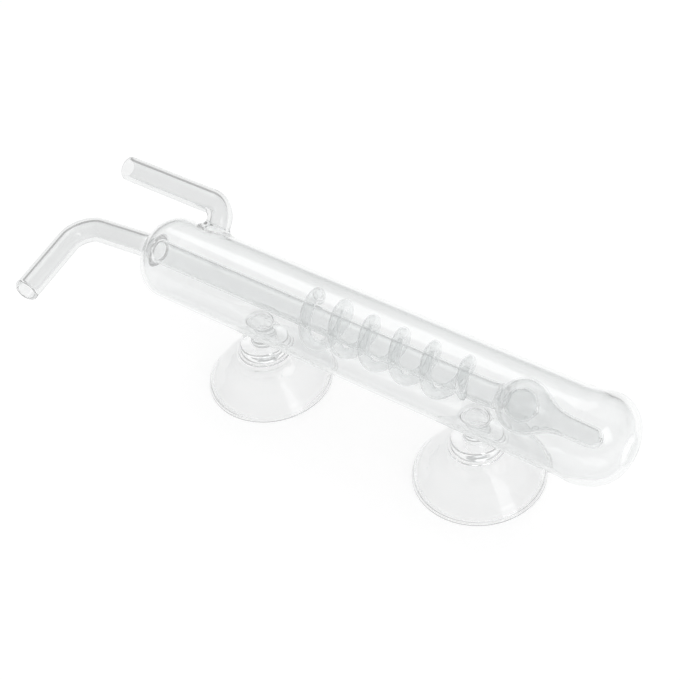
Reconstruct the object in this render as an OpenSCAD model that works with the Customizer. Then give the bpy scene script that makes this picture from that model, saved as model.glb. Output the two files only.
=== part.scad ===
// Jacketed glass tube with an inner spiral, lying level on two suction cups.
// Millimetres. +X runs along the jacket to its closed end, +Y to the side of the outlet arm,
// +Z up. The origin is the centre of the near cup's rest face. Profiles of revolution are
// written as [distance from the axis, position along the axis].

/* [Jacket] */
// Outside diameter of the jacket tube
jacket_od = 20; // [19.6:0.2:21]
// Wall of the jacket, its shoulder and its closed end
jacket_wall = 0.8; // [0.7:0.1:1.2]
// Height of the jacket's axis above the rest face
axis_height = 28.4; // [28:0.1:30]
// Outside face of the shoulder, along X
near_tip = -30; // [-32:0.5:-30]
// Corner radius of the shoulder
shoulder_corner = 6.5; // [6:0.1:6.6]
// Outside face of the closed end, along X
far_tip = 97.3; // [97.3:0.1:100]
// Corner radius of the closed end
dome_corner = 8; // [7.8:0.1:8.2]
// How far the closed end swells past the tube
dome_swell = 0.4; // [0.3:0.1:0.6]

/* [Hose stems] */
// Outside diameter of both stems
stem_od = 6; // [5.8:0.2:6.2]
// Straight run of the inlet stem before its bend
inlet_run = 14.6; // [14:0.6:15.2]
// Length of the inlet stem after its bend
inlet_leg = 19.2; // [18:0.6:19.8]
// Tilt of the inlet stem below the level
inlet_droop = 7; // [5:2:9]
// Where the outlet arm rises from the jacket, along X
arm_x = -16; // [-17:0.5:-15]
// Angle of the outlet arm's riser above the level, towards +Y
arm_rise = 41.5; // [38:0.5:45]
// Distance between the axes of the jacket and the arm
arm_offset = 15.7; // [15.5:0.1:16.5]
// Centre-line radius of the outlet arm's bend
arm_bend = 4.3; // [4.1:0.1:4.4]
// Mouth of the outlet arm, along X
arm_mouth = -46.8; // [-50:0.1:-46]

/* [Inner parts] */
// Outside diameter of the inner tube
inner_od = 5.8; // [5.6:0.1:6]
// Bore of the inner tube
inner_bore = 4.8; // [4.4:0.1:4.8]
// First point where the spiral's rod crosses the top, along X
spiral_start = 17.2; // [16:0.1:18]
// Advance of the spiral in one turn
spiral_pitch = 8.12; // [7.8:0.01:8.2]
// Full turns of the spiral
spiral_turns = 5.5; // [5:0.25:5.5]
// Radius of the spiral's centre line
spiral_radius = 4.6; // [4.6:0.05:5]
// Diameter of the spiral's rod
rod_d = 2.7; // [2.4:0.1:2.8]
// Outside diameter of the bubble bulb
bulb_od = 12.1; // [12:0.1:12.6]
// Outside diameter of the drop sealed inside the bulb
drop_od = 7.3; // [7:0.1:7.6]
// Centre of the bulb, along X
bulb_x = 72.9; // [72:0.1:74]
// How far the blown bulb sits above the axis
bulb_offset = 0.8; // [0.5:0.1:0.9]
// Tip of the nozzle, along X
nozzle_tip = 91.1; // [90:0.1:92]
// Diameter of the nozzle's finger
nozzle_od = 4.6; // [4.4:0.1:4.8]
// Bore of the nozzle's finger
nozzle_bore = 3.4; // [3.2:0.1:3.4]
// Jet in the end of the nozzle
jet_d = 0.8; // [0.6:0.1:1]

/* [Feet] */
// Distance between the two cups
cup_spacing = 60; // [58:1:60]
// Diameter of a cup's rim
cup_od = 30.6; // [30:0.1:32]
// Height of a cup to the top of its neck
cup_height = 12.8; // [12.6:0.1:13.4]
// Diameter of a cup's neck
neck_od = 11.6; // [11:0.1:12]
// Diameter of the glass pegs
peg_d = 5.4; // [5:0.1:5.6]
// Radial clearance of a peg in its socket
peg_clearance = 0.05; // [0.02:0.01:0.08]

/* [Hidden] */
$fn = 96;
glass = [0.82, 0.9, 0.92, 0.5];
vinyl = [0.93, 0.95, 0.95, 0.7];
eps = 0.01;

jacket_r = jacket_od / 2;
jacket_inner_r = jacket_r - jacket_wall;
shoulder_x = near_tip + shoulder_corner;
shoulder_flat_r = jacket_r - shoulder_corner;
dome_x = far_tip - dome_corner;
dome_flat_r = jacket_r + dome_swell - dome_corner;
dome_inner_corner = dome_corner - jacket_wall;
dome_back = sqrt(pow(dome_corner, 2) - pow(jacket_r - dome_flat_r, 2));
dome_joint_x = dome_x - dome_back;

stem_bore = 4;
inlet_bend = 5.6;
inlet_turn = 102;
stem_r = stem_od / 2;
bore_r = stem_bore / 2;
inner_r = inner_od / 2;
inner_bore_r = inner_bore / 2;
seal_plug_r = stem_r + 0.3;
seal_flare_r = stem_r + 1.2;
seal_length = 4.5;
seal_root_x = near_tip - seal_length;
seal_inner_x = near_tip + 2;
flare_length = 3.5;
flare_arc_r = (pow(seal_flare_r - stem_r, 2) + pow(flare_length, 2)) / (2 * (seal_flare_r - stem_r));
flare_arc = asin(flare_length / flare_arc_r);
lip_r = (stem_r - bore_r) / 2;

arm_foot_r = 4.7;
arm_foot = 8.4;
arm_seal_top = arm_offset - arm_bend;
arm_fillet = arm_foot_r - stem_r;

bulb_r = bulb_od / 2;
bulb_wall = 0.55;
bulb_inner_r = bulb_r - bulb_wall;
bulb_mouth_r = 2.6;
drop_r = drop_od / 2;
drop_wall = 0.5;
drop_back = 0.7;
drop_cone = 48;
drop_neck_r = 1.5;
drop_bore_r = 0.8;
drop_port_r = 0.6;
spiral_ring_steps = 26;
rod_sides = 12;
rod_r = rod_d / 2;
spiral_tie = 0.5;
spiral_tie_turns = 0.3;
nozzle_r = nozzle_od / 2;
nozzle_bore_r = nozzle_bore / 2;
nozzle_root_r = 4.4;
nozzle_root_wall = 0.7;
nozzle_root_x = bulb_x + 3.6;
nozzle_neck_x = bulb_x + 9.5;

cup_r = cup_od / 2;
neck_r = neck_od / 2;
cup_shoulder_r = neck_r + 0.9;
cup_shoulder_z = 9.9;
neck_base_z = cup_shoulder_z + 0.8;
cup_edge = 0.6;
neck_chamfer = 0.4;
rest_width = 0.8;
hollow_roof_r = 8.2;
hollow_roof_z = 5.8;
socket_r = peg_d / 2 + peg_clearance;
socket_floor_z = 7.3;
peg_r = peg_d / 2;
peg_end_z = socket_floor_z + 0.2;
peg_flare_r = peg_r + 1.3;
peg_flare_z = axis_height - jacket_r - 1.3;

// Points along an arc, from angle a to angle b
function arc_points(centre, radius, a, b, steps = 12) =
    [for (i = [0 : steps])
        let (angle = a + (b - a) * i / steps) centre + radius * [cos(angle), sin(angle)]];

// Fire-polished end of a tube: half a turn from its outside to its bore
function lip_points(along) = arc_points([bore_r + lip_r, along], lip_r, 0, 180, 8);

// Turns a profile about the jacket's axis
module about_jacket() {
    translate([0, 0, axis_height]) rotate([0, 90, 0]) rotate_extrude() children();
}

// Places children along the outlet arm's riser, which starts on the jacket's axis
module along_riser() {
    translate([arm_x, 0, axis_height]) rotate([arm_rise - 90, 0, 0]) children();
}

module jacket_solid(radius) {
    translate([shoulder_x, 0, axis_height])
        rotate([0, 90, 0]) cylinder(r = radius, h = dome_joint_x - shoulder_x);
}

module jacket_tube() {
    color(glass) difference() {
        jacket_solid(jacket_r);
        translate([-eps, 0, 0]) jacket_solid(jacket_inner_r);
        translate([eps, 0, 0]) jacket_solid(jacket_inner_r);
        along_riser() cylinder(r = bore_r, h = arm_offset);
    }
}

module inlet_shoulder() {
    centre = [shoulder_flat_r, shoulder_x];
    color(glass) about_jacket() polygon(concat(
        arc_points(centre, shoulder_corner, 0, -90),
        [[seal_plug_r, near_tip], [seal_plug_r, near_tip + jacket_wall]],
        arc_points(centre, shoulder_corner - jacket_wall, -90, 0)));
}

module closed_end() {
    centre = [dome_flat_r, dome_x];
    color(glass) about_jacket() polygon(concat(
        arc_points(centre, dome_corner, -asin(dome_back / dome_corner), 90, 16),
        [[0, far_tip], [0, far_tip - jacket_wall]],
        arc_points(centre, dome_inner_corner, 90, -asin(dome_back / dome_inner_corner), 16)));
}

// Glass ring that joins the inlet stem, the shoulder and the inner tube
module ring_seal() {
    color(glass) about_jacket() polygon(concat(
        [[bore_r, seal_root_x], [stem_r, seal_root_x]],
        arc_points([stem_r + flare_arc_r, near_tip - flare_length], flare_arc_r,
                   180, 180 - flare_arc, 8),
        [[seal_plug_r, near_tip], [seal_plug_r, seal_inner_x], [bore_r, seal_inner_x]]));
}

// Section of a hose stem, for a bend
module stem_section() {
    difference() {
        circle(r = stem_r);
        circle(r = bore_r);
    }
}

// Inlet stem, in a plane that droops from the ring seal: straight along -X, then round a bend
// towards -Y. Its root is cut square to the jacket, to sit on the seal.
module inlet_stem() {
    root = 2;
    weld = 0.01;
    color(glass) translate([seal_root_x, 0, axis_height]) rotate([0, -inlet_droop, 0])
        difference() {
            translate([-inlet_run, -inlet_bend, 0]) rotate([0, 0, 90]) {
                translate([inlet_bend, 0, 0]) rotate([90, 0, 0]) rotate_extrude()
                    translate([bore_r, 0]) square([stem_r - bore_r, inlet_run + root]);
                rotate_extrude(angle = inlet_turn) translate([inlet_bend, 0]) stem_section();
                rotate([0, 0, inlet_turn]) translate([inlet_bend, 0, 0]) rotate([-90, 0, 0])
                    rotate_extrude() polygon(concat(
                        [[bore_r, -weld], [stem_r, -weld]], lip_points(inlet_leg - lip_r)));
            }
            rotate([0, inlet_droop, 0]) translate([0, -jacket_r, -jacket_r]) cube(jacket_od);
        }
}

// Flared foot of the outlet arm, welded round its port in the jacket
module arm_seal() {
    color(glass) difference() {
        along_riser() rotate_extrude() polygon(concat(
            [[bore_r, arm_foot], [arm_foot_r, arm_foot], [arm_foot_r, arm_seal_top - arm_fillet]],
            arc_points([arm_foot_r, arm_seal_top], arm_fillet, 270, 180, 8),
            [[bore_r, arm_seal_top]]));
        jacket_solid(jacket_r);
    }
}

// Outlet arm from the top of its foot: it turns from the riser to -X and runs level
module outlet_arm() {
    run = arm_x - arm_bend - arm_mouth;
    color(glass) along_riser() translate([-arm_bend, 0, arm_seal_top]) {
        rotate([90, 0, 0]) rotate_extrude(angle = 90) translate([arm_bend, 0]) stem_section();
        translate([0, 0, arm_bend]) rotate([0, -90, 0]) rotate_extrude() polygon(concat(
            [[bore_r, 0], [stem_r, 0]], lip_points(run - lip_r)));
    }
}

module bulb_ball(radius) {
    translate([bulb_x, 0, axis_height + bulb_offset]) sphere(r = radius);
}

module inner_tube() {
    length = bulb_x - seal_inner_x;
    color(glass) difference() {
        translate([seal_inner_x, 0, axis_height]) rotate([0, 90, 0]) difference() {
            cylinder(r = inner_r, h = length);
            translate([0, 0, -eps]) cylinder(r = inner_bore_r, h = length + 2 * eps);
        }
        bulb_ball(bulb_r);
    }
}

// Share of the way, 0 to 1, that the rod has lifted off the inner tube at turn t
function spiral_lift(t) =
    let (edge = min(t, spiral_turns - t) / spiral_tie_turns) sin(90 * min(1, max(0, edge)));

// Centre of the rod at turn t: a right-handed helix that dips to the tube at both ends
function spiral_point(t) =
    let (radius = spiral_radius - spiral_tie * (1 - spiral_lift(t)))
        [spiral_start + spiral_pitch * (t - 0.25),
         radius * cos(360 * t),
         axis_height + radius * sin(360 * t)];

function unit(v) = v / norm(v);

module spiral() {
    steps = ceil(spiral_turns * spiral_ring_steps);
    rings = [for (i = [0 : steps])
        let (t = i * spiral_turns / steps,
             centre = spiral_point(t),
             ahead = unit(spiral_point(t + eps) - spiral_point(t - eps)),
             side = unit(cross(ahead, [1, 0, 0])),
             lift = cross(ahead, side))
            [for (k = [0 : rod_sides - 1])
                centre + rod_r * (cos(360 * k / rod_sides) * side
                                  + sin(360 * k / rod_sides) * lift)]];
    points = [for (ring = rings) each ring];
    walls = [for (i = [0 : steps - 1], k = [0 : rod_sides - 1])
        let (a = i * rod_sides + k, b = i * rod_sides + (k + 1) % rod_sides)
            [a, b, b + rod_sides, a + rod_sides]];
    near_end = [[for (k = [rod_sides - 1 : -1 : 0]) k]];
    far_end = [[for (k = [0 : rod_sides - 1]) steps * rod_sides + k]];
    color(glass) polyhedron(points, concat(walls, near_end, far_end), convexity = 8);
}

// Air inside the bulb, round a hollow drop that narrows to the bulb's near pole, in distances
// from the bulb's axis and centre
function bulb_air() =
    let (clear = bulb_r + 1,
         drop = [0, -drop_back],
         root = sqrt(pow(bulb_inner_r, 2) - pow(drop_neck_r, 2)))
        concat([[0, -clear], [drop_bore_r, -clear], [drop_bore_r, drop_bore_r - root]],
               arc_points(drop, drop_r - drop_wall, -drop_cone,
                          acos(drop_port_r / (drop_r - drop_wall)), 16),
               arc_points(drop, drop_r, acos(drop_port_r / drop_r), -drop_cone, 16),
               arc_points([0, 0], bulb_inner_r, -acos(drop_neck_r / bulb_inner_r),
                          acos(bulb_mouth_r / bulb_inner_r), 20),
               [[bulb_mouth_r, clear], [0, clear]]);

// Thin-walled bulb with a small hollow drop sealed inside it
module bulb() {
    color(glass) difference() {
        bulb_ball(bulb_r);
        translate([bulb_x, 0, bulb_offset]) about_jacket() polygon(bulb_air());
    }
}

// Point on the nozzle's flared root, share s of the way from its root to its neck
function flare_point(root, neck, s) =
    [neck + (root - neck) * (1 + cos(180 * s)) / 2,
     nozzle_root_x + (nozzle_neck_x - nozzle_root_x) * (0.2 + 0.8 * s)];

module nozzle() {
    tip_x = nozzle_tip - nozzle_r;
    root_bore_r = nozzle_root_r - nozzle_root_wall;
    color(glass) difference() {
        about_jacket() polygon(concat(
            [[root_bore_r, nozzle_root_x], [nozzle_root_r, nozzle_root_x]],
            [for (i = [0 : 8]) flare_point(nozzle_root_r, nozzle_r, i / 8)],
            arc_points([0, tip_x], nozzle_r, 0, acos(jet_d / nozzle_od), 8),
            arc_points([0, tip_x], nozzle_bore_r, acos(jet_d / nozzle_bore), 0, 8),
            [for (i = [8 : -1 : 0]) flare_point(root_bore_r, nozzle_bore_r, i / 8)]));
        bulb_ball(bulb_r);
    }
}

// Glass peg at position x, flared where it is welded under the jacket
module peg(x) {
    color(glass) difference() {
        translate([x, 0, 0]) rotate_extrude() polygon(concat(
            [[0, peg_end_z], [peg_r - neck_chamfer, peg_end_z], [peg_r, peg_end_z + neck_chamfer]],
            arc_points([peg_flare_r, peg_flare_z], peg_flare_r - peg_r, 180, 90, 6),
            [[peg_flare_r, axis_height], [0, axis_height]]));
        jacket_solid(jacket_r);
    }
}

module near_peg() {
    peg(0);
}

module far_peg() {
    peg(cup_spacing);
}

// Soft suction cup at position x: a hollow skirt under a neck with a blind socket
module suction_cup(x) {
    color(vinyl) translate([x, 0, 0]) rotate_extrude() polygon([
        [cup_r - rest_width, 0],
        [cup_r, 0],
        [cup_r, cup_edge],
        [cup_shoulder_r, cup_shoulder_z],
        [neck_r, neck_base_z],
        [neck_r, cup_height - neck_chamfer],
        [neck_r - neck_chamfer, cup_height],
        [socket_r, cup_height],
        [socket_r, socket_floor_z],
        [0, socket_floor_z],
        [0, hollow_roof_z],
        [hollow_roof_r, hollow_roof_z]]);
}

module near_cup() {
    suction_cup(0);
}

module far_cup() {
    suction_cup(cup_spacing);
}

jacket_tube();
inlet_shoulder();
closed_end();
ring_seal();
inlet_stem();
arm_seal();
outlet_arm();
inner_tube();
spiral();
bulb();
nozzle();
near_peg();
far_peg();
near_cup();
far_cup();
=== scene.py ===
"""Looks of a jacketed spiral glass tube on two suction cups."""
import math

import bmesh
import bpy
from mathutils import Matrix, Vector


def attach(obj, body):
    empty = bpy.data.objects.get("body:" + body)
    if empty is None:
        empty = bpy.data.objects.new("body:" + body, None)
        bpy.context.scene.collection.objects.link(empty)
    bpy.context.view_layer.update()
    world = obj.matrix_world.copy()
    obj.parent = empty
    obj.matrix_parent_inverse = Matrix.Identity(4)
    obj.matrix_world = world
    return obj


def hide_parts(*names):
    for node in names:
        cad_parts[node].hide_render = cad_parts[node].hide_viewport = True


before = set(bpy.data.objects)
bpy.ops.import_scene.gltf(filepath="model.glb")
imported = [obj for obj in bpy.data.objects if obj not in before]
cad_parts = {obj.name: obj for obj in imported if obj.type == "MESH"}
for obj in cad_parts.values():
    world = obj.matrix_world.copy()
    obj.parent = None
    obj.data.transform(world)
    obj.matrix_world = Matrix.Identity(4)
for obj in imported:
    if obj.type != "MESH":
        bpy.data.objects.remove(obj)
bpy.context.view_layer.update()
MM = 0.001

# ---------------------------------------------------------------- camera
camera = bpy.data.objects.new("camera", bpy.data.cameras.new("camera"))
camera.data.sensor_width = 36
camera.data.lens = 80.65
camera.data.clip_start = 0.01
right, up = Vector((0.8014, 0.5868, -0.1154)), Vector((-0.3503, 0.6169, 0.7047))
back = right.cross(up).normalized()
right = up.cross(back).normalized()
up = back.cross(right)
camera.matrix_world = Matrix.Translation((0.1907, -0.1799, 0.2648)) @ Matrix(
    (right, up, back)).transposed().to_4x4()
bpy.context.scene.collection.objects.link(camera)
bpy.context.scene.camera = camera
bpy.context.scene.view_settings.view_transform = "Standard"
# light passes through many walls of glass before it gets out
BOUNCES = 32
cycles = bpy.context.scene.cycles
cycles.max_bounces = cycles.transmission_bounces = cycles.glossy_bounces = BOUNCES

# ---------------------------------------------------------------- sizes, in mm
AXIS_Z = 28.4             # height of the jacket's axis
JACKET_R, WALL = 10.0, 0.8
STEM_R, BORE_R = 3.0, 2.0
INNER_R, INNER_BORE_R = 2.9, 2.4
LIP = (STEM_R - BORE_R) / 2
SHOULDER_X, SHOULDER_ARC_R, SHOULDER_FLAT_R = -23.5, 6.5, 3.5
STEM_START = -33.5        # where the inlet stem leaves the shoulder, along X
STEM_RUN, STEM_BEND, STEM_LEG = 14.6, 5.6, 19.2
STEM_TURN, STEM_DROOP = math.radians(102), math.radians(7)
TURN = 128                # vertices round every ring about the jacket's axis
SIDE = 24                 # cells along each side of a patch that a tube is welded into
ARM_RISE = math.radians(41.5)
CUP_SPACING = 60


def lerp(a, b, t):
    return a + (b - a) * t


def ease(t):
    t = min(1.0, max(0.0, t))
    return t * t * (3 - 2 * t)


def around(j):
    """Angle of a ring's vertex j, from +Z towards +Y. The first is on the outlet arm's side."""
    return math.pi / 2 - ARM_RISE + 2 * math.pi * j / TURN


def arc(cx, cr, radius, a, b, steps):
    """Points (x, r) round a corner centred at (cx, cr), from angle a to b in degrees."""
    out = []
    for i in range(steps + 1):
        angle = math.radians(lerp(a, b, i / steps))
        out.append((cx + radius * math.cos(angle), cr + radius * math.sin(angle)))
    return out


def softened(line, passes):
    """The line with its corners eased and its ends kept."""
    for _ in range(passes):
        line = [line[0]] + [
            tuple(0.25 * a + 0.5 * b + 0.25 * c for a, b, c in zip(*line[i - 1:i + 2]))
            for i in range(1, len(line) - 1)] + [line[-1]]
    return line


def resampled(line, step):
    """The same line with even steps along it."""
    out, left = [line[0]], step
    for a, b in zip(line, line[1:]):
        length = math.dist(a, b)
        at = left
        while at <= length:
            out.append(tuple(lerp(p, q, at / length) for p, q in zip(a, b)))
            at += step
        left = at - length
    if math.dist(out[-1], line[-1]) > 0.3 * step:
        out.append(line[-1])
    else:
        out[-1] = line[-1]
    return out


def thinned(line, start, end, step):
    """The line with fewer points along its straight stretch, where x is from start to end."""
    out = [line[0]]
    for x, r in line[1:]:
        if not start < x < end or abs(x - out[-1][0]) >= step:
            out.append((x, r))
    return out


def new_object(name, bm, material, body, hollow=()):
    """The hollow faces are the walls of a closed space inside, which face into it."""
    bmesh.ops.recalc_face_normals(bm, faces=bm.faces)
    bmesh.ops.reverse_faces(bm, faces=list(hollow))
    for face in bm.faces:
        face.smooth = True
    mesh = bpy.data.meshes.new(name)
    bm.to_mesh(mesh)
    bm.free()
    mesh.materials.append(material)
    obj = bpy.data.objects.new(name, mesh)
    bpy.context.scene.collection.objects.link(obj)
    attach(obj, body)
    return obj


# ---------------------------------------------------------------- materials
def node_material(name):
    material = bpy.data.materials.new(name)
    material.use_nodes = True
    tree = material.node_tree
    tree.nodes.clear()
    out = tree.nodes.new("ShaderNodeOutputMaterial")
    shader = tree.nodes.new("ShaderNodeBsdfPrincipled")
    tree.links.new(shader.outputs[0], out.inputs["Surface"])
    coords = tree.nodes.new("ShaderNodeTexCoord")
    return material, tree, shader, coords.outputs["Object"]


def noise_node(tree, coords, scale, detail, stretch=(1, 1, 1)):
    mapping = tree.nodes.new("ShaderNodeMapping")
    mapping.inputs["Scale"].default_value = stretch
    tree.links.new(coords, mapping.inputs["Vector"])
    texture = tree.nodes.new("ShaderNodeTexNoise")
    texture.inputs["Scale"].default_value = scale
    texture.inputs["Detail"].default_value = detail
    tree.links.new(mapping.outputs[0], texture.inputs["Vector"])
    return texture.outputs[0]


def ranged(tree, value, low, high):
    node = tree.nodes.new("ShaderNodeMapRange")
    node.inputs["From Min"].default_value = 0.3
    node.inputs["From Max"].default_value = 0.7
    node.inputs["To Min"].default_value = low
    node.inputs["To Max"].default_value = high
    tree.links.new(value, node.inputs["Value"])
    return node.outputs[0]


def mixed(tree, value, a, b):
    node = tree.nodes.new("ShaderNodeMix")
    node.data_type = "RGBA"
    node.inputs["A"].default_value = (*a, 1)
    node.inputs["B"].default_value = (*b, 1)
    tree.links.new(value, node.inputs["Factor"])
    return node.outputs["Result"]


def bumped(tree, shader, height, strength, distance):
    bump = tree.nodes.new("ShaderNodeBump")
    bump.inputs["Strength"].default_value = strength
    bump.inputs["Distance"].default_value = distance
    tree.links.new(height, bump.inputs["Height"])
    tree.links.new(bump.outputs[0], shader.inputs["Normal"])


GLASS_IOR, VINYL_IOR = 1.47, 1.5
CLOUDS = 90               # scale of the slow change of tint and roughness
RIM_POWER = 2.5           # how close to its outline the glass takes its painted rim shade
DRAWN, CAST = (0.35, 1, 1), (1, 1, 1)    # ripples long along the tube, and even ones


def cool(value, shift):
    return value, value + shift, value + shift


def glass_material(name, tint, painted_rim_shade, painted_glow, stretch=CAST, ior=GLASS_IOR,
                   roughness=(0.0, 0.02), ripples=140, bump=0.12):
    """Clear glass or vinyl: tint is its range face on, and the rim colour, seen at its outline, is
    painted shade that darkens its edges.
    """
    material, tree, shader, coords = node_material(name)
    shader.inputs["Transmission Weight"].default_value = 1
    shader.inputs["IOR"].default_value = ior
    # painted light: the material glows faintly white, though it is no lamp
    shader.inputs["Emission Color"].default_value = (1, 1, 1, 1)
    shader.inputs["Emission Strength"].default_value = painted_glow
    cloud = noise_node(tree, coords, CLOUDS, 2)
    # painted shade: the base colour darkens to the rim colour where the surface turns edge on
    weight = tree.nodes.new("ShaderNodeLayerWeight")
    weight.inputs["Blend"].default_value = 0.5
    edge = tree.nodes.new("ShaderNodeMath")
    edge.operation = "POWER"
    edge.inputs[1].default_value = RIM_POWER
    tree.links.new(weight.outputs["Facing"], edge.inputs[0])
    rim = tree.nodes.new("ShaderNodeMix")
    rim.data_type = "RGBA"
    tree.links.new(edge.outputs[0], rim.inputs["Factor"])
    tree.links.new(mixed(tree, cloud, *(cool(v, 0.005) for v in tint)), rim.inputs["A"])
    rim.inputs["B"].default_value = (*cool(painted_rim_shade, 0.02), 1)
    tree.links.new(rim.outputs["Result"], shader.inputs["Base Color"])
    tree.links.new(ranged(tree, cloud, *roughness), shader.inputs["Roughness"])
    bumped(tree, shader, noise_node(tree, coords, ripples, 2, stretch), bump, 0.0002)
    return material


# The glow of each is painted light set per part: inner_glass, round the inner tube and bulb, glows
# the most to lighten them.
blown_glass = glass_material("blown_glass", (0.91, 0.945), 0.66, 0.01, DRAWN)
inner_glass = glass_material("inner_glass", (0.88, 0.92), 0.6, 0.022, DRAWN)
stem_glass = glass_material("stem_glass", (0.85, 0.88), 0.6, 0.012)
coil_glass = glass_material("coil_glass", (0.92, 0.945), 0.76, 0.012, bump=0.1)
soft_vinyl = glass_material("soft_vinyl", (0.9, 0.94), 0.6, 0.02, ior=VINYL_IOR,
                            roughness=(0.02, 0.06), ripples=260, bump=0.15)

# ---------------------------------------------------------------- fused glass
glass = bmesh.new()


def smooth_between(x, a, b):
    return ease((x - a) / (b - a))


BULB_RISE, NOZZLE_RISE = 0.85, 0.3


def lift(x):
    """How far the line of the inner tube rises at x: the bulb was blown off centre."""
    return (BULB_RISE * smooth_between(x, 62, 71)
            + (NOZZLE_RISE - BULB_RISE) * smooth_between(x, 75, 84))


# the closed end leans a little, as the flame left it
LEAN = Vector((0.3, 0.65, 0.3))
LEAN_START, LEAN_END = 86.5, 92.5
NOZZLE_END, NOZZLE_REACH = 92, 7    # what is inside this stays straight


def turned(x, radius, rise=0.0):
    """A ring about the jacket's axis, which leans with the closed end."""
    lean = smooth_between(x, LEAN_START, LEAN_END)
    if x < NOZZLE_END and radius < NOZZLE_REACH:
        lean = 0.0
    out = []
    for j in range(TURN):
        a = around(j)
        out.append(glass.verts.new((
            MM * (x + LEAN.x * lean), MM * (LEAN.y * lean + radius * math.sin(a)),
            MM * (AXIS_Z + rise + LEAN.z * lean + radius * math.cos(a)))))
    return out


def joined(rows, skipped=(), into=glass):
    """Faces between rings, apart from the skipped (row, column) cells."""
    left_out = set(skipped)
    faces = []
    for k in range(len(rows) - 1):
        a, b = rows[k], rows[k + 1]
        n = len(a)
        for j in range(n):
            if (k, j) not in left_out:
                faces.append(into.faces.new((a[j], a[(j + 1) % n], b[(j + 1) % n], b[j])))
    return faces


def capped(ring, point, into=glass):
    """Faces that close a ring at a point, which is in mm."""
    tip = into.verts.new([MM * c for c in point])
    n = len(ring)
    for j in range(n):
        into.faces.new((ring[j], ring[(j + 1) % n], tip))


# the jacket's even part, where tubes are welded in
EVEN_START, EVEN_END, EVEN_STEP = -22.5, 84.0, 0.5
even_x = [EVEN_START + EVEN_STEP * i for i in range(int((EVEN_END - EVEN_START) / EVEN_STEP) + 1)]

# The skin is one run of rings: outside from the closed end to the inlet stem's mouth, back
# through the bore, drop, bulb and nozzle, outside them to the seal, and inside the jacket.
# outside: domed end, jacket, shoulder, flare, stem
dome = resampled(softened(resampled(
    [(97.3, 0.001), (97.3, 2.4)] + arc(89.3, 2.4, 8, 90, 10, 24)[::-1]
    + [(88.3, 10.38), (87.2, 10.2), (86, 10.05), (84.0, 10.0)], 0.15), 12), 0.35)
dome[-1] = (EVEN_END, JACKET_R)
skin = [turned(x, r) for x, r in dome[1:-1]]
capped(skin[0], Vector((97.3, 0, AXIS_Z)) + LEAN)
first_even = len(skin)
skin += [turned(x, JACKET_R) for x in reversed(even_x)]
FLARE_RISE, FLARE_LENGTH = 1.2, 3.5
flare_arc_r = (FLARE_RISE ** 2 + FLARE_LENGTH ** 2) / (2 * FLARE_RISE)
shoulder = resampled(softened(resampled(
    [(EVEN_START, JACKET_R)] + arc(SHOULDER_X, SHOULDER_FLAT_R, SHOULDER_ARC_R, 90, 174, 24)
    + [(STEM_START + t, STEM_R + flare_arc_r - math.sqrt(flare_arc_r ** 2 - t * t))
       for t in (3.4, 2.8, 2.2, 1.6, 1.0, 0.5, 0)], 0.12), 10), 0.3)
shoulder[0] = (EVEN_START, JACKET_R)
skin += [turned(x, r) for x, r in shoulder[1:]]


# the inlet stem's centre line, and the frames of its rings
def stem_frames():
    line = [Vector((STEM_START - 0.5 * i, 0, 0)) for i in range(1, 3)]
    start = line[-1].copy()
    tilt = Matrix.Rotation(-STEM_DROOP, 3, "Y")
    flat = [Vector((-0.4 * i, 0, 0)) for i in range(1, 37)]
    bend = []
    for i in range(1, 41):
        a = STEM_TURN * i / 40
        bend.append(Vector((-STEM_RUN - STEM_BEND * math.sin(a),
                            STEM_BEND * (math.cos(a) - 1), 0)))
    along = Vector((-math.cos(STEM_TURN), -math.sin(STEM_TURN), 0))
    leg = [bend[-1] + along * 0.45 * i for i in range(1, 43)]
    leg[-1] = bend[-1] + along * (STEM_LEG - LIP)
    line += [start + tilt @ p for p in flat + bend + leg]
    for _ in range(8):
        line = [line[0]] + [(line[i - 1] + 2 * line[i] + line[i + 1]) / 4
                            for i in range(1, len(line) - 1)] + [line[-1]]
    frames, lead = [], Vector((-1, 0, 0))
    side_up, side_out = Vector((0, 0, 1)), Vector((0, 1, 0))
    for i, p in enumerate(line):
        ahead = (line[min(i + 1, len(line) - 1)] - line[max(i - 1, 0)]).normalized()
        turned_by = lead.rotation_difference(ahead)
        side_up.rotate(turned_by)
        side_out.rotate(turned_by)
        lead = ahead
        frames.append((p + Vector((0, 0, AXIS_Z)), side_up.copy(), side_out.copy(), ahead.copy()))
    return frames


stem = stem_frames()


def stem_ring(place, radius, forward=0.0):
    centre, side_up, side_out, ahead = place
    out = []
    for j in range(TURN):
        a = around(j)
        p = centre + forward * ahead + radius * (math.sin(a) * side_out + math.cos(a) * side_up)
        out.append(glass.verts.new(MM * p))
    return out


def lip_ring_sizes(steps=10):
    """(radius, step forward) round a fire-polished lip, from outside to bore."""
    for i in range(1, steps):
        angle = math.pi * i / steps
        yield BORE_R + LIP + LIP * math.cos(angle), LIP * math.sin(angle)


skin += [stem_ring(place, STEM_R) for place in stem]
skin += [stem_ring(stem[-1], r, f) for r, f in lip_ring_sizes()]
skin += [stem_ring(place, BORE_R) for place in reversed(stem)]

# inside: bore, drop, bulb and nozzle, then back outside them to the seal and the jacket
BULB_X, BULB_R, BULB_WALL = 72.9, 6.05, 0.5
DROP_X, DROP_R, DROP_WALL = 72.3, 3.7, 0.45


def ball(x, radius, a, b, steps=24):
    """Points (x, r) on a ball centred on the axis, from angle a to b in degrees off +X."""
    return arc(x, 0, radius, a, b, steps)


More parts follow.
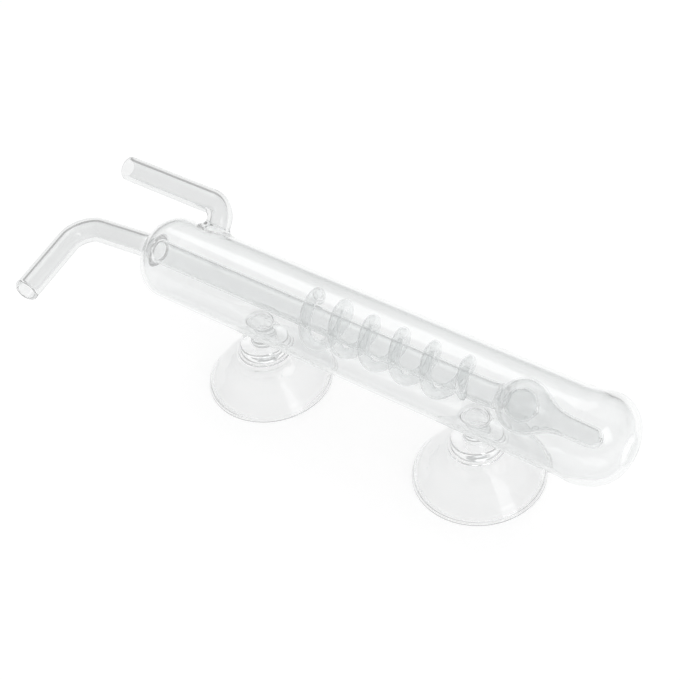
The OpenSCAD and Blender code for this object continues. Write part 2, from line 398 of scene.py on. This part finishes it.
cavity = softened(resampled(
    [(STEM_START, BORE_R), (-31, BORE_R), (-28.5, INNER_BORE_R), (65.5, INNER_BORE_R), (66.5, 2.3),
     (67.05, 1.7), (67.3, 1.0), (67.9, 0.7)] + ball(DROP_X, DROP_R - DROP_WALL, 146, 12), 0.12), 4)
cavity += softened(resampled(
    ball(DROP_X, DROP_R, 9, 144) + [(68.3, 1.25), (67.9, 1.25), (67.65, 1.6)]
    + ball(BULB_X, BULB_R - BULB_WALL, 160, 54)
    + [(77.3, 3.75), (78.4, 3.08), (79.6, 2.5), (81.0, 2.1), (83.0, 1.85), (84.5, 1.78),
       (88.9, 1.7), (89.7, 1.5), (90.2, 1.1), (90.45, 0.42)], 0.12), 6)
cavity = thinned(resampled(cavity, 0.3), -27, 60, 2)
nozzle = softened(resampled(
    [(90.45, 0.42), (91.0, 0.42), (91.1, 0.7), (90.9, 1.35), (90.4, 1.8), (89.6, 2.15), (88.6, 2.3),
     (84.5, 2.3), (83.0, 2.38), (81.2, 2.6), (79.8, 3.0), (78.6, 3.6), (77.6, 4.25)]
    + ball(BULB_X, BULB_R, 52, 152, 18)
    + [(66.9, 2.95), (66.3, INNER_R), (60, INNER_R), (-26.8, INNER_R)], 0.12), 8)
nozzle = thinned(resampled(nozzle, 0.3), -26, 60, 2)
inner_end = resampled(softened(resampled(
    [(-26.8, INNER_R), (-28.3, 2.93), (-28.85, 3.1), (-29.1, 3.45)]
    + arc(SHOULDER_X, SHOULDER_FLAT_R, SHOULDER_ARC_R - WALL, 176, 90, 20)
    + [(EVEN_START, JACKET_R - WALL)], 0.12), 6), 0.3)
inner_end[-1] = (EVEN_START, JACKET_R - WALL)
for x, r in cavity + nozzle[1:] + inner_end[1:-1]:
    skin.append(turned(x, r, lift(x) if r < 7 and x > 55 else 0))
second_even = len(skin)
skin += [turned(x, JACKET_R - WALL) for x in even_x]
inner_dome = resampled(softened(resampled(
    [(84.0, 9.2), (85.5, 9.25), (87, 9.3), (88.3, 9.2)] + arc(89.3, 2.4, 6.6, 78, 4, 22)
    + [(95.85, 2.0), (95.8, 0.001)], 0.15), 8), 0.35)
skin += [turned(x, r) for x, r in inner_dome[1:-1]]
capped(skin[-1], Vector((95.8, 0, AXIS_Z)) + LEAN)


# ---- places where a tube or peg is welded into the jacket
def patch(rows_start, rising, x, angle):
    """The ring of vertices round a square patch about its centre column, and its cells."""
    column = round(TURN * angle / (2 * math.pi))
    if rising:
        row = rows_start + round((x - EVEN_START) / EVEN_STEP)
    else:
        row = rows_start + round((EVEN_END - x) / EVEN_STEP)
    half = SIDE // 2
    step = 1 if rising else -1
    ring = []
    for i in range(SIDE):
        ring.append((row + step * half, column - half + i))
    for i in range(SIDE):
        ring.append((row + step * (half - i), column + half))
    for i in range(SIDE):
        ring.append((row - step * half, column + half - i))
    for i in range(SIDE):
        ring.append((row - step * (half - i), column - half))
    cells = [(r, c % TURN) for r in range(row - half, row + half)
             for c in range(column - half, column + half)]
    return [skin[r][c % TURN] for r, c in ring], cells


class Weld:
    """Rings that lead from a patch's edge to a round foot on the jacket's surface."""

    def __init__(self, edge, x, angle, radius):
        self.centre = Vector((x, 0, AXIS_Z))
        a = math.pi / 2 - ARM_RISE + angle
        self.out = Vector((0, math.sin(a), math.cos(a)))
        self.across = Vector((0, math.cos(a), -math.sin(a)))
        self.along = Vector((1, 0, 0))
        self.radius = radius
        self.edge = edge
        self.flat = []
        for v in edge:
            p = v.co / MM - self.centre
            self.flat.append((p.dot(self.along), p.dot(self.across)))
        self.angles = [math.atan2(v, u) for u, v in self.flat]

    def height(self, v):
        return math.sqrt(self.radius ** 2 - v * v)

    def rings_to(self, foot, steps):
        """Rings on the surface from the patch's edge to the foot's circle, the edge first."""
        rows = [self.edge]
        for s in range(1, steps + 1):
            t = s / steps
            ring = []
            for (u, v), angle in zip(self.flat, self.angles):
                pu = lerp(u, foot * math.cos(angle), t)
                pv = lerp(v, foot * math.sin(angle), t)
                ring.append(self.point(pu, pv, self.height(pv)))
            rows.append(ring)
        return rows

    def point(self, u, v, h):
        return glass.verts.new(
            MM * (self.centre + u * self.along + v * self.across + h * self.out))

    def fillet(self, foot, radius, top, steps):
        """Rings that rise from the foot's circle and narrow to radius at height top."""
        rows = []
        for s in range(1, steps + 1):
            t = math.radians(90) * s / steps
            r = foot - (foot - radius) * math.sin(t)
            ring = []
            for angle in self.angles:
                u, v = r * math.cos(angle), r * math.sin(angle)
                ring.append(self.point(u, v, lerp(self.height(v), top, 1 - math.cos(t))))
            rows.append(ring)
        return rows


gaps = []

# outlet arm: foot, bend and level run outside, then the bore back to its port
ARM_X, ARM_OFFSET, ARM_BEND, ARM_MOUTH = -16.0, 15.7, 4.3, -46.8
edge_out, cells = patch(first_even, False, ARM_X, 0)
gaps += cells
edge_in, cells = patch(second_even, True, ARM_X, 0)
gaps += cells
out_weld = Weld(edge_out, ARM_X, 0, JACKET_R)
in_weld = Weld(edge_in, ARM_X, 0, JACKET_R - WALL)
top = ARM_OFFSET - ARM_BEND


def arm_ring(angles, radius, phi, back):
    """A ring of the arm, phi round its bend and then back along its level run."""
    turn_u, turn_h = math.cos(phi), math.sin(phi)
    ring = []
    for angle in angles:
        reach = ARM_BEND + radius * math.cos(angle)
        u = -ARM_BEND + reach * turn_u - back
        h = top + reach * turn_h
        ring.append(out_weld.point(u, radius * math.sin(angle), h))
    return ring


level = ARM_X - ARM_BEND - ARM_MOUTH - LIP
bend_steps = [math.radians(90) * i / 24 for i in range(1, 25)]
run_steps = [level * i / 30 for i in range(1, 31)]
ARM_FOOT, PORT_FOOT, PORT_TOP = 5.0, 3.1, 10.4
arm = out_weld.rings_to(ARM_FOOT, 4) + out_weld.fillet(ARM_FOOT, STEM_R, top, 10)
arm += [arm_ring(out_weld.angles, STEM_R, phi, 0) for phi in bend_steps]
arm += [arm_ring(out_weld.angles, STEM_R, math.radians(90), s) for s in run_steps]
arm += [arm_ring(out_weld.angles, r, math.radians(90), level + f) for r, f in lip_ring_sizes()]
arm += [arm_ring(out_weld.angles, BORE_R, math.radians(90), s) for s in reversed(run_steps)]
arm += [arm_ring(out_weld.angles, BORE_R, phi, 0) for phi in reversed(bend_steps)]
arm += [[out_weld.point(BORE_R * math.cos(a), BORE_R * math.sin(a), top) for a in out_weld.angles]]
port = in_weld.fillet(PORT_FOOT, BORE_R, PORT_TOP, 6)
arm += list(reversed(port)) + list(reversed(in_weld.rings_to(PORT_FOOT, 8)))
joined(arm)

# pegs: flared foot, shank and rounded end
PEG_Z = 7.5               # height of the pegs' lower ends
PEG_R, PEG_FOOT, PEG_END = 2.7, 4.1, AXIS_Z - PEG_Z
PEG_TOP = JACKET_R + 1.3
down = math.pi / 2 + ARM_RISE
for peg_x in (0, CUP_SPACING):
    edge, cells = patch(first_even, False, peg_x, down)
    gaps += cells
    weld = Weld(edge, peg_x, down, JACKET_R)
    rows = weld.rings_to(PEG_FOOT, 4) + weld.fillet(PEG_FOOT, PEG_R, PEG_TOP, 8)
    for h, r in ([(PEG_TOP + 0.6 * i, PEG_R) for i in range(1, 15)]
                 + [(PEG_END - 0.5 + 0.5 * math.sin(math.radians(a)),
                     PEG_R - 0.5 + 0.5 * math.cos(math.radians(a))) for a in (0, 22, 45, 67, 90)]
                 + [(PEG_END, 1.4), (PEG_END, 0.6)]):
        rows.append([weld.point(r * math.cos(a), r * math.sin(a), h) for a in weld.angles])
    joined(rows)
    capped(rows[-1], (peg_x, 0, PEG_Z))

joined(skin, gaps)

BLOWN, INNER, STEM, DROP = range(4)
ARM_CLEAR = 10.6          # further from the axis than this, above it, is the outlet arm


def slot_of(centre):
    """The material slot of a face, from its centre in mm."""
    off_axis = math.hypot(centre.y, centre.z - AXIS_Z)
    if math.dist(centre, (DROP_X, 0, AXIS_Z + BULB_RISE)) < DROP_R + 0.15:
        return DROP
    if -31 < centre.x < NOZZLE_END and off_axis < (7.2 if centre.x > -27.5 else 4.4):
        return INNER
    if centre.x < STEM_START + 0.5 or (off_axis > ARM_CLEAR and centre.z > AXIS_Z):
        return STEM
    return BLOWN


for face in glass.faces:
    face.material_index = slot_of(face.calc_center_median() / MM)
bmesh.ops.delete(glass, geom=[v for v in glass.verts if not v.link_faces], context="VERTS")

fused = new_object("fused_glass", glass, blown_glass, "glass")
for material in (inner_glass, stem_glass, coil_glass):
    fused.data.materials.append(material)
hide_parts("jacket_tube", "inlet_shoulder", "closed_end", "ring_seal", "inlet_stem",
            "arm_seal", "outlet_arm", "inner_tube", "bulb", "nozzle", "near_peg", "far_peg")

# ---------------------------------------------------------------- spiral coil
COIL_TUBE_R, COIL_BORE_R = 1.35, 1.17
COIL_START, COIL_PITCH, COIL_TURNS, COIL_R = 17.2, 8.12, 5.5, 4.7
COIL_RINGS, COIL_AROUND, COIL_END_RINGS = 330, 32, 8


def spiral_point(t):
    """Centre of the coil's tube at turn t, right-handed, dipping to the inner tube at both
    ends. The first turn is wider, and the end turns stand a little further out."""
    ends = min(t, COIL_TURNS - t) / 0.3
    radius = COIL_R - 0.45 * (1 - math.sin(math.pi / 2 * min(1, max(0, ends))))
    radius += 1.1 * ease(t / 0.2) * (1 - ease((t - 0.9) / 0.5))
    angle = 2 * math.pi * t
    x = COIL_START + COIL_PITCH * (t - 0.25)
    x += 1 - ease((t - 0.3) / 0.6) + 0.85 * ease((t - 4.6) / 0.6)
    return Vector((x, radius * math.cos(angle), AXIS_Z + 0.2 + radius * math.sin(angle)))


coil = bmesh.new()


def coil_ring(i, radius):
    t = COIL_TURNS * i / COIL_RINGS
    centre = spiral_point(t)
    ahead = (spiral_point(t + 0.002) - spiral_point(t - 0.002)).normalized()
    side = ahead.cross(Vector((1, 0, 0))).normalized()
    over = ahead.cross(side)
    return [coil.verts.new(MM * (centre + radius * (math.cos(a) * side + math.sin(a) * over)))
            for a in (2 * math.pi * k / COIL_AROUND for k in range(COIL_AROUND))]


def rounded(radius, i, inset):
    """Radius at ring i of a tube with round ends, inset rings in from the coil's ends."""
    ends = min(i, COIL_RINGS - i) - inset
    along = min(1.0, (ends + 0.15) / COIL_END_RINGS)
    return radius * math.sqrt(max(0.0, 1 - (1 - along) ** 2))


for radius, inset in ((COIL_TUBE_R, 0), (COIL_BORE_R, 4)):
    rings = [coil_ring(i, rounded(radius, i, inset))
             for i in range(inset, COIL_RINGS + 1 - inset)]
    shell = [coil.faces.new(rings[0]), coil.faces.new(rings[-1])] + joined(rings, into=coil)
spiral = new_object("spiral_coil", coil, coil_glass, "glass", hollow=shell)
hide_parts("spiral")

# ---------------------------------------------------------------- suction cups
HOLLOW_R, HOLLOW_HEIGHT = 14.5, 5.8
CUP_AROUND = 144
cup_hollow = [(HOLLOW_R * math.sin(a), HOLLOW_HEIGHT * math.cos(a) ** 0.8)
              for a in map(math.radians, range(4, 88, 4))]
cup_rim = [(14.5, 0.15), (14.7, 0.0), (15.25, 0.0), (15.3, 0.12), (15.2, 0.62)]
cup_skirt = [(11.0, 5.9), (8.6, 8.4), (7.2, 9.6), (6.55, 9.95), (6.45, 10.25), (5.9, 10.55)]
cup_neck = [(5.8, 10.9), (5.8, 12.3), (5.65, 12.7), (5.3, 12.8)]
cup_socket = [(3.2, 12.8), (2.85, 12.7), (2.75, 12.3), (2.75, 7.6), (2.55, 7.32), (0.001, 7.3)]
CUP = softened(resampled([(0.001, HOLLOW_HEIGHT)] + cup_hollow + cup_rim + cup_skirt + cup_neck
                         + cup_socket, 0.1), 2)


def cup(name, node, x):
    """A cup turned about its peg, under its CAD node's name for its body."""
    bm = bmesh.new()
    rows = []
    for r, z in CUP[1:-1]:
        rows.append([bm.verts.new((MM * (x + r * math.cos(a)), MM * r * math.sin(a), MM * z))
                     for a in (2 * math.pi * k / CUP_AROUND for k in range(CUP_AROUND))])
    joined(rows, into=bm)
    capped(rows[0], (x, 0, CUP[0][1]), into=bm)
    capped(rows[-1], (x, 0, CUP[-1][1]), into=bm)
    obj = new_object(name, bm, soft_vinyl, node)
    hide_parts(node)


cup("near_suction_cup", "near_cup", 0)
cup("far_suction_cup", "far_cup", CUP_SPACING)

# the CAD's own nodes, which all of the above stand for
for name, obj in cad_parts.items():
    obj.data.materials.clear()
    obj.data.materials.append(soft_vinyl if name.endswith("cup") else blown_glass)

# ---------------------------------------------------------------- floor and light
floor_mesh = bpy.data.meshes.new("floor")
FLOOR, FLOOR_Z = 3, -0.0001
floor_mesh.from_pydata([(x * FLOOR, y * FLOOR, FLOOR_Z)
                        for x, y in ((-1, -1), (1, -1), (1, 1), (-1, 1))], [], [(0, 1, 2, 3)])
floor = bpy.data.objects.new("floor", floor_mesh)
bpy.context.scene.collection.objects.link(floor)
GLOW = (0.15, 0.45, 0.737, 0.3)   # its inner and outer radius, and its strength inside and outside: the floor glows though it is no lamp, a painted pool of light that fades outwards
pale, tree, shader, coords = node_material("pale_floor")
shader.inputs["Base Color"].default_value = (0.5, 0.5, 0.5, 1)
shader.inputs["Roughness"].default_value = 0.9
shader.inputs["Specular IOR Level"].default_value = 0
distance = tree.nodes.new("ShaderNodeVectorMath")
distance.operation = "LENGTH"
tree.links.new(coords, distance.inputs[0])
fall = tree.nodes.new("ShaderNodeMapRange")
fall.interpolation_type = "SMOOTHSTEP"
fall.inputs["From Min"].default_value = GLOW[0]
fall.inputs["From Max"].default_value = GLOW[1]
fall.inputs["To Min"].default_value = GLOW[2]
fall.inputs["To Max"].default_value = GLOW[3]
tree.links.new(distance.outputs["Value"], fall.inputs["Value"])
tree.links.new(fall.outputs[0], shader.inputs["Emission Strength"])
shader.inputs["Emission Color"].default_value = (1, 1, 1, 1)
floor_mesh.materials.append(pale)

world = bpy.data.worlds.new("studio")
bpy.context.scene.world = world
world.use_nodes = True
tree = world.node_tree
tree.nodes.clear()
out = tree.nodes.new("ShaderNodeOutputWorld")
background = tree.nodes.new("ShaderNodeBackground")
sky = tree.nodes.new("ShaderNodeTexCoord")
split = tree.nodes.new("ShaderNodeSeparateXYZ")
tree.links.new(sky.outputs["Generated"], split.inputs[0])
SKY = (0.45, 0.55, 0.7)   # its strength at the horizon and overhead, and where overhead starts
climb = tree.nodes.new("ShaderNodeMapRange")
climb.inputs["From Min"].default_value = 0
climb.inputs["From Max"].default_value = SKY[2]
climb.inputs["To Min"].default_value = SKY[0]
climb.inputs["To Max"].default_value = SKY[1]
tree.links.new(split.outputs["Z"], climb.inputs["Value"])
tree.links.new(climb.outputs[0], background.inputs["Color"])
tree.links.new(background.outputs[0], out.inputs["Surface"])


AIM = Vector((0.03, 0, 0.02))


def softbox(name, place, size, power):
    light = bpy.data.lights.new(name, "AREA")
    light.shape = "RECTANGLE"
    light.size, light.size_y = size
    light.energy = power
    obj = bpy.data.objects.new(name, light)
    obj.location = place
    obj.rotation_euler = (AIM - obj.location).to_track_quat("-Z", "Y").to_euler()
    bpy.context.scene.collection.objects.link(obj)


softbox("key_softbox", (-0.5, 0.5, 0.9), (0.5, 0.5), 0.9)
softbox("side_softbox", (0.7, -0.15, 0.45), (0.3, 0.5), 0.8)
